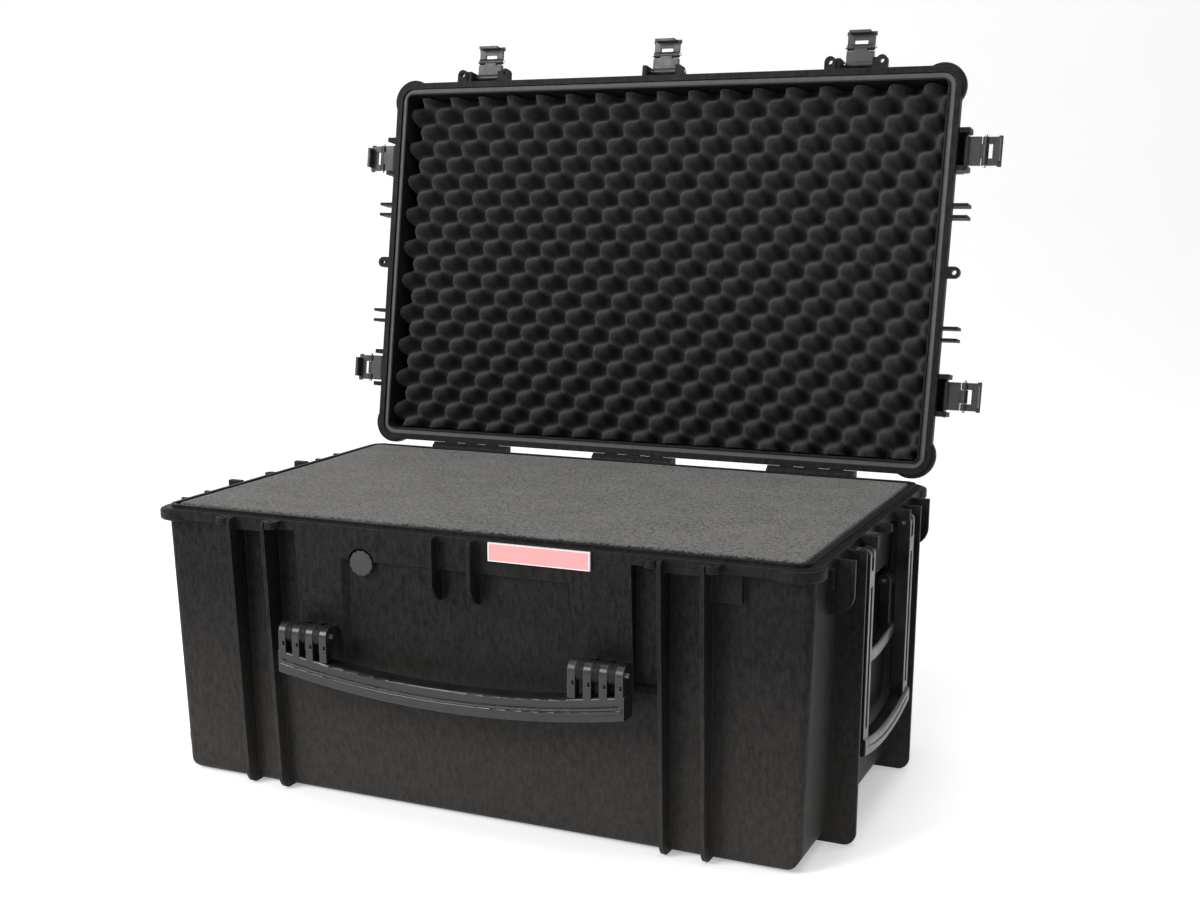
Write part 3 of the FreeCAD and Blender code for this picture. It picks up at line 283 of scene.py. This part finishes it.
def steel():
    """Drawn steel rod with fine scratches round it."""
    material, tree, shader = new_material("steel")
    scratch = noise_at(tree, place(tree, (1, 1, 6)), 900, 4, 0.7)
    cloud = noise_at(tree, place(tree), 120, 3)
    feed(tree, shader, Base_Color=mix(tree, cloud, grey(0.38), grey(0.58, 1.01)), Metallic=1.0)
    feed(tree, shader, Roughness=remap(tree, scratch, 0.3, 0.7, 0.22, 0.42))
    bump(tree, shader, scratch, 0.15, 0.0001)
    return material


def rubber(name, low, high, warm, scale):
    """Matt rubber with a blotchy bloom."""
    material, tree, shader = new_material(name)
    where = place(tree)
    bloom = noise_at(tree, where, scale, 5, 0.65)
    pores = noise_at(tree, where, 1100, 2, 0.6)
    feed(tree, shader, Base_Color=mix(tree, remap(tree, bloom, 0.3, 0.7), grey(low, warm), grey(high, warm)))
    feed(tree, shader, Roughness=remap(tree, bloom, 0.3, 0.7, 0.6, 0.8), Specular_IOR_Level=0.35)
    bump(tree, shader, pores, 0.3, 0.0002, 0.0005)
    return material


def membrane():
    """Pale porous film with a felt-like surface."""
    material, tree, shader = new_material("membrane")
    pores = noise_at(tree, place(tree), 1500, 4, 0.7)
    feed(tree, shader, Base_Color=mix(tree, pores, grey(0.5), grey(0.8)))
    feed(tree, shader, Roughness=remap(tree, pores, 0.3, 0.7, 0.7, 0.95))
    bump(tree, shader, pores, 0.4, 0.0002)
    return material


def foam(name, low, high, warm, cell, contrast):
    """Open-cell foam: bright cell walls, dark pores, a soft sheen.

    cell is the fineness of the pores, and a larger contrast sets them off more from the walls.
    """
    material, tree, shader = new_material(name)
    where = place(tree)
    pores = cells_at(tree, where, cell)
    specks = noise_at(tree, where, cell * 0.45, 4, 0.75)
    patches = noise_at(tree, where, 22, 3)
    speckle = math(tree, "ADD", math(tree, "MULTIPLY", pores, 0.6), specks)
    shade = math(tree, "ADD", speckle, math(tree, "MULTIPLY", patches, 0.25))
    spread = FOAM_SHADE_SPREAD / contrast
    tone = remap(tree, shade, FOAM_SHADE_MIDDLE - spread, FOAM_SHADE_MIDDLE + spread)
    colour = mix(tree, tone, grey(low, warm), grey(high, warm))
    feed(tree, shader, Base_Color=colour, Roughness=remap(tree, specks, 0.3, 0.7, 0.85, 1.0))
    feed(tree, shader, Specular_IOR_Level=0.1, Sheen_Weight=0.15, Sheen_Roughness=0.6)
    bump(tree, shader, speckle, 0.6, 0.0012)
    return material


def label_frame():
    """Clear plastic window frame that looks whitish pink over the card."""
    material, tree, shader = new_material("label_frame")
    haze = noise_at(tree, place(tree), 180, 4, 0.6)
    feed(tree, shader, Base_Color=mix(tree, haze, (0.62, 0.52, 0.52, 1), (0.80, 0.72, 0.72, 1)))
    feed(tree, shader, Roughness=remap(tree, haze, 0.3, 0.7, 0.12, 0.3), Specular_IOR_Level=0.5)
    bump(tree, shader, haze, 0.1, 0.0002, 0.0004)
    return material


def label_card():
    """Plain salmon card with a fibrous, faintly uneven colour."""
    material, tree, shader = new_material("label_card")
    fibres = noise_at(tree, place(tree, (1, 1, 4)), 420, 5, 0.7)
    feed(tree, shader, Base_Color=mix(tree, fibres, (0.86, 0.25, 0.25, 1), (1.0, 0.38, 0.38, 1)))
    feed(tree, shader, Roughness=remap(tree, fibres, 0.3, 0.7, 0.3, 0.5), Specular_IOR_Level=0.45)
    bump(tree, shader, fibres, 0.1, 0.0001)
    return material


def all_materials():
    """Every material by the record's slot name."""
    return {
        "shell_plastic": shell_plastic(),
        "handle_plastic": handle_plastic(),
        "latch_plastic": latch_plastic(),
        "valve_plastic": valve_plastic(),
        "hub_plastic": hub_plastic(),
        "steel": steel(),
        "seal_rubber": rubber("seal_rubber", 0.08, 0.13, 0.95, 60),
        "tyre_rubber": rubber("tyre_rubber", 0.010, 0.026, 1.02, 90),
        "membrane": membrane(),
        "base_foam": foam("base_foam", 0.014, 0.096, 1.05, 330, 2.6),
        "lid_foam": foam("lid_foam", 0.003, 0.020, 1.01, 700, 1.6),
        "label_frame": label_frame(),
        "label_card": label_card(),
    }


# ---- foam pieces -----------------------------------------------------------------------------


def rounded_spot(u, v, half_x, half_y, corner):
    """Carry the square -1..1 onto a rectangle with rounded corners."""
    x = np.clip(np.abs(u) * half_x - (half_x - corner), 0, None) / corner
    y = np.clip(np.abs(v) * half_y - (half_y - corner), 0, None) / corner
    inside_x = np.minimum(np.abs(u) * half_x, half_x - corner)
    inside_y = np.minimum(np.abs(v) * half_y, half_y - corner)
    bent_x = x * np.sqrt(1 - y * y / 2)
    bent_y = y * np.sqrt(1 - x * x / 2)
    return np.sign(u) * (inside_x + corner * bent_x), np.sign(v) * (inside_y + corner * bent_y)


def square_rim(count_x, count_y):
    """Grid places of the rim of a grid, once round."""
    rim = [(i, 0) for i in range(count_x - 1)]
    rim += [(count_x - 1, j) for j in range(count_y - 1)]
    rim += [(i, count_y - 1) for i in range(count_x - 1, 0, -1)]
    rim += [(0, j) for j in range(count_y - 1, 0, -1)]
    return rim


def foam_block(name, front, back, cell, relief, edge):
    """A closed foam block between two rounded rectangles.

    front and back are (half x, half y, corner radius, level). relief gives how far the front face
    is sunk towards the back at each point, and edge is how far its rim is rounded.
    """
    half_x, half_y, corner, level = front
    back_x, back_y, back_corner, back_level = back
    away = 1 if back_level > level else -1
    count_x = int(2 * half_x / cell) + 1
    count_y = int(2 * half_y / cell) + 1
    u, v = np.meshgrid(np.linspace(-1, 1, count_x), np.linspace(-1, 1, count_y), indexing="ij")
    x, y = rounded_spot(u, v, half_x - edge, half_y - edge, corner - edge)
    z = level + away * relief(x, y)
    rows = [np.stack([x, y, z], -1).reshape(-1, 3)]
    rim = square_rim(count_x, count_y)
    rim_u = np.array([u[i, j] for i, j in rim])
    rim_v = np.array([v[i, j] for i, j in rim])
    rim_z = np.array([z[i, j] for i, j in rim])
    loops = []
    for step in (30, 60, 90):
        out = edge * (1 - sin(radians(step)))
        down = edge * (1 - cos(radians(step)))
        loops.append((half_x - out, half_y - out, corner - out, rim_z + away * down))
    wall = rim_z + away * edge
    for share in np.linspace(0, 1, WALL_LOOPS + 1)[1:]:
        size = [a + (b - a) * share for a, b in zip((half_x, half_y, corner), back[:3])]
        loops.append((*size, wall + (back_level - wall) * share))
    for wide, deep, turn, height in loops:
        px, py = rounded_spot(rim_u, rim_v, wide, deep, turn)
        rows.append(np.stack([px, py, height + 0 * px], -1))
    faces = []

    def at(i, j):
        return i * count_y + j

    for i in range(count_x - 1):
        for j in range(count_y - 1):
            faces.append((at(i, j), at(i + 1, j), at(i + 1, j + 1), at(i, j + 1)))
    ring_before = [at(i, j) for i, j in rim]
    total = count_x * count_y
    around = len(rim)
    for k in range(len(loops)):
        ring_now = [total + k * around + n for n in range(around)]
        for n in range(around):
            m = (n + 1) % around
            faces.append((ring_before[n], ring_now[n], ring_now[m], ring_before[m]))
        ring_before = ring_now
    faces.append(tuple(ring_before))
    if away > 0:
        faces = [tuple(reversed(face)) for face in faces]
    mesh = bpy.data.meshes.new(name)
    mesh.from_pydata(np.concatenate(rows).tolist(), [], faces)
    mesh.polygons.foreach_set("use_smooth", [True] * len(mesh.polygons))
    mesh.update()
    piece = bpy.data.objects.new(name, mesh)
    bpy.context.scene.collection.objects.link(piece)
    return piece


def uneven(x, y):
    """The slight waviness of a cut foam face, never above the CAD level."""
    height = [noise.noise((a * CUT_WAVE, b * CUT_WAVE, 3.1)) for a, b in zip(x.ravel(), y.ravel())]
    return 0.0006 + 0.0006 * np.array(height).reshape(x.shape)


def egg_crate(x, y):
    """Depth of the convoluted face below its bump tips."""
    wave = np.cos(2 * pi * x / EGG_PITCH_X) * np.cos(pi * y / EGG_ROW)
    rise = 0.5 + 0.5 * np.sin(pi / 2 * wave)
    return EGG_DEPTH * (1 - rise)


def finish_foam(piece, node, material, body):
    piece.data.materials.append(material)
    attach(piece, body)
    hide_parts(node)


def relieve_top_layer(mesh):
    """Keep the top layer clear of the hollows and the valve nut in the walls round it."""
    for vertex in mesh.vertices:
        place_at = vertex.co
        if abs(place_at.y) < END_POCKET_HALF and place_at.z < END_POCKET_TOP:
            place_at.x = min(max(place_at.x, -END_POCKET_X), END_POCKET_X)
        near_x = abs(place_at.x - VALVE_NUT_X) < VALVE_NUT_ROOM
        near_z = abs(place_at.z - VALVE_NUT_Z) < VALVE_NUT_ROOM
        if near_x and near_z:
            place_at.y = max(place_at.y, VALVE_NUT_Y)


def carved_foam(name, node):
    """A foam layer cut round the hollows in the walls, with the waviness of a cut face."""
    shape = bmesh.new()
    shape.from_mesh(frame["nodes"][node].data)
    bmesh.ops.remove_doubles(shape, verts=shape.verts, dist=0.00002)
    for _ in range(SPLIT_ROUNDS):
        long = [edge for edge in shape.edges if edge.calc_length() > LONGEST_EDGE]
        bmesh.ops.subdivide_edges(shape, edges=long, cuts=1)
    bmesh.ops.triangulate(shape, faces=shape.faces)
    shape.normal_update()
    inward = [(v, v.normal.copy(), noise.noise(v.co * CUT_WAVE)) for v in shape.verts]
    for vertex, normal, height in inward:
        vertex.co -= normal * (0.0004 + 0.0004 * height)
    mesh = bpy.data.meshes.new(name)
    shape.to_mesh(mesh)
    shape.free()
    piece = bpy.data.objects.new(name, mesh)
    bpy.context.scene.collection.objects.link(piece)
    return piece


def base_foam(materials):
    """The four foam layers of the base, each as large as its CAD solid."""
    for layer in ("bottom_pad", "lower_layer", "middle_layer"):
        node = "base_foam_" + layer
        finish_foam(carved_foam("soft_" + node, node), node, materials["base_foam"], "base")
    node = "base_foam_top_layer"
    low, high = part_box(node)
    points = np.array([v.co for v in frame["nodes"][node].data.vertices])
    under = points[points[:, 2] < low.z + 0.001]
    over = points[points[:, 2] > high.z - 0.001]
    front = (over[:, 0].max(), over[:, 1].max(), BASE_FOAM_CORNER, high.z)
    back = (under[:, 0].max(), under[:, 1].max(), BASE_FOAM_CORNER, low.z)
    piece = foam_block("soft_" + node, front, back, FOAM_CELL, uneven, FOAM_EDGE)
    relieve_top_layer(piece.data)
    finish_foam(piece, node, materials["base_foam"], "base")


def lid_foam(materials):
    """The egg-crate foam of the lid, built for the shut lid and swung open with it."""
    front = (*LID_FOAM_HALF, LID_FOAM_CORNER, LID_FOAM_FACE)
    back = (*LID_FOAM_BACK_HALF, LID_FOAM_CORNER, LID_FOAM_BACK)
    piece = foam_block("egg_crate_foam", front, back, EGG_CELL, egg_crate, FOAM_EDGE)
    hinge = Vector((0, HINGE_Y, HINGE_Z))
    swing = Matrix.Rotation(radians(-LID_OPEN), 4, "X")
    piece.data.transform(Matrix.Translation(hinge) @ swing @ Matrix.Translation(-hinge))
    finish_foam(piece, "lid_foam", materials["lid_foam"], "lid")


# ---- studio ----------------------------------------------------------------------------------


def paint_nodes(materials):
    """Give each CAD node the material of its slot in the record."""
    for part in frame["record"]["subparts"]:
        node = frame["nodes"][part["node"]]
        node.data.materials.clear()
        node.data.materials.append(materials[part["material_slot"]])


def floor():
    """A pale floor that curves up into a backdrop behind the case."""
    profile = [(-6.0, 0.0), (FLOOR_FLAT_TO, 0.0)]
    for step in range(1, FLOOR_BEND_STEPS + 1):
        angle = radians(90 * step / FLOOR_BEND_STEPS)
        profile.append((FLOOR_FLAT_TO + FLOOR_BEND * sin(angle), FLOOR_BEND - FLOOR_BEND * cos(angle)))
    profile.append((FLOOR_FLAT_TO + FLOOR_BEND, 7.0))
    points = [(side, y, z - 0.0004) for y, z in profile for side in (-9, 9)]
    faces = [(2 * i, 2 * i + 1, 2 * i + 3, 2 * i + 2) for i in range(len(profile) - 1)]
    mesh = bpy.data.meshes.new("floor")
    mesh.from_pydata(points, [], faces)
    mesh.polygons.foreach_set("use_smooth", [True] * len(mesh.polygons))
    sheet = bpy.data.objects.new("floor", mesh)
    bpy.context.scene.collection.objects.link(sheet)
    sheet.rotation_euler = (0, 0, radians(CAMERA_YAW))
    material, tree, shader = new_material("floor_paper")
    tint = noise_at(tree, place(tree), 3, 3)
    feed(tree, shader, Base_Color=mix(tree, tint, grey(0.84), grey(0.87)), Roughness=0.9)
    feed(tree, shader, Emission_Color=(1, 1, 1, 1), Emission_Strength=FLOOR_GLOW)
    mesh.materials.append(material)


def softbox(name, at, towards, size, power):
    """A square area light aimed at a point."""
    light = bpy.data.lights.new(name, "AREA")
    light.shape = "RECTANGLE"
    light.size, light.size_y = size
    light.energy = power
    lamp = bpy.data.objects.new(name, light)
    bpy.context.scene.collection.objects.link(lamp)
    lamp.location = at
    lamp.rotation_euler = (Vector(towards) - Vector(at)).to_track_quat("-Z", "Y").to_euler()


def lights():
    softbox("key", (-1.5, -2.5, 1.9), (0, 0, 0.45), (1.4, 1.4), 84)
    softbox("top", (0.3, 0.0, 3.0), (0, 0.1, 0.3), (2.2, 2.0), 50)
    softbox("rim", (2.4, 1.4, 1.6), (0.3, 0.2, 0.4), (0.8, 1.8), 4)
    world = bpy.data.worlds.new("studio")
    bpy.context.scene.world = world
    world.use_nodes = True
    background = world.node_tree.nodes["Background"]
    background.inputs["Color"].default_value = (1, 1, 1, 1)
    background.inputs["Strength"].default_value = 0.38
    bpy.context.scene.view_settings.view_transform = "Standard"


def camera():
    data = bpy.data.cameras.new("camera")
    data.lens = CAMERA_LENS
    data.shift_x, data.shift_y = CAMERA_SHIFT
    seen = bpy.data.objects.new("camera", data)
    bpy.context.scene.collection.objects.link(seen)
    turn = Matrix.Rotation(radians(CAMERA_YAW), 4, "Z")
    tilt = Matrix.Rotation(radians(90 + CAMERA_PITCH), 4, "X")
    roll = Matrix.Rotation(radians(CAMERA_ROLL), 4, "Z")
    seen.matrix_world = Matrix.Translation(CAMERA_AT) @ turn @ tilt @ roll
    bpy.context.scene.camera = seen


# ---- build -----------------------------------------------------------------------------------
MATERIALS = all_materials()
paint_nodes(MATERIALS)
base_foam(MATERIALS)
lid_foam(MATERIALS)
floor()
lights()
camera()
